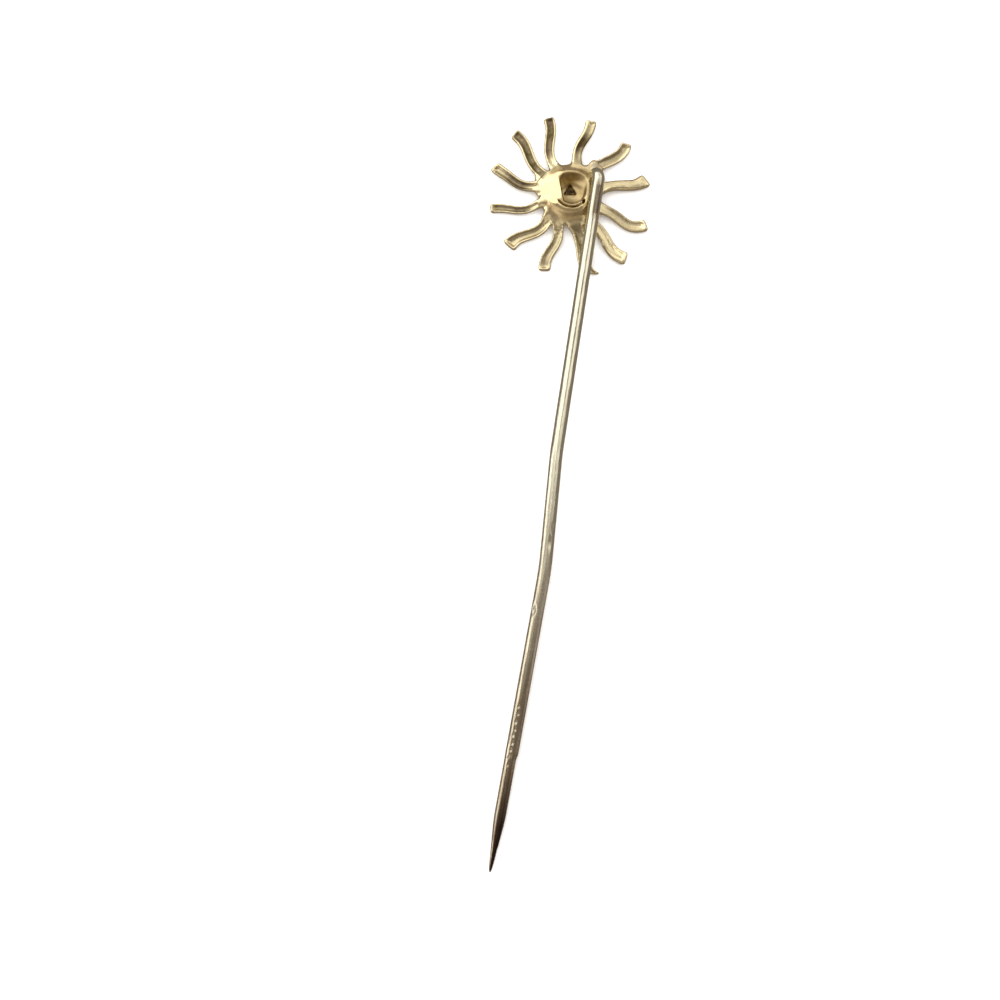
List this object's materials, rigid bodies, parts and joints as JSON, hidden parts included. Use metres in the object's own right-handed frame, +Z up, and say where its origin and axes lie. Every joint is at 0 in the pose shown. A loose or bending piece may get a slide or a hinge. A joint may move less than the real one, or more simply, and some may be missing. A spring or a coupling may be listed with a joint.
{
  "type": "stick pin",
  "caption": "Sunburst stick pin lying face down: wavy channelled rays round a domed boss with a set stone, and a bent wire stem soldered to its back.",
  "frame": {"origin": "middle of the bounding box's underside, on the surface that the pin lies on", "axes": "+Z up, out of the back of the head; +Y from the point of the stem towards the head; +X to the right"},
  "size_m": [0.0138, 0.0637, 0.0027],
  "materials": {
    "gold": "worn yellow gold, polished stem, softly tarnished head",
    "stone": "polished facets"
  },
  "bodies": {
    "root": {"sunburst_pin": "gold", "stone": "stone"}
  },
  "joints": []
}
